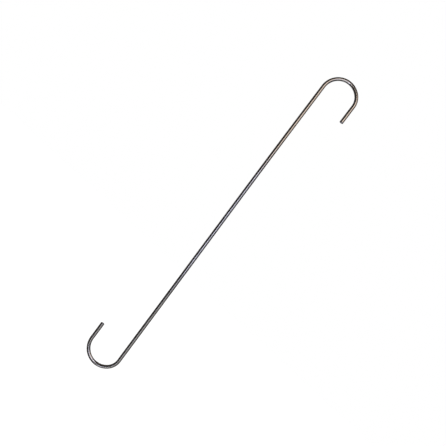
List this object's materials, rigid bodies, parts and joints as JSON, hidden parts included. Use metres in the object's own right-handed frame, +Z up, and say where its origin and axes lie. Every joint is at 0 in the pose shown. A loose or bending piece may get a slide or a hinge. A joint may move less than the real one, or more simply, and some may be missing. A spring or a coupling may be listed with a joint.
{
  "type": "meat hook",
  "caption": "Long S-shaped meat hook bent from round stainless bar, with a blunt open hook at each end for hanging a load from a rail.",
  "frame": {"origin": "rail seat: the top of the inside of the upper bend, where the hook sits on its rail, in the middle of the bar", "axes": "+Z up, from the load seat in the lower bend through the rail seat, as the hook hangs when loaded; +X in the plane of the hooks, towards the upper hook's tip; +Y square to that plane. The shank leans 6.1 degrees from Z, its top towards -X."},
  "size_m": [0.0699, 0.0064, 0.6126],
  "materials": {
    "bright_bar": "bright-drawn stainless bar, polished, with fine marks along its length"
  },
  "bodies": {
    "root": {"hook_rod": "bright_bar"}
  },
  "joints": []
}
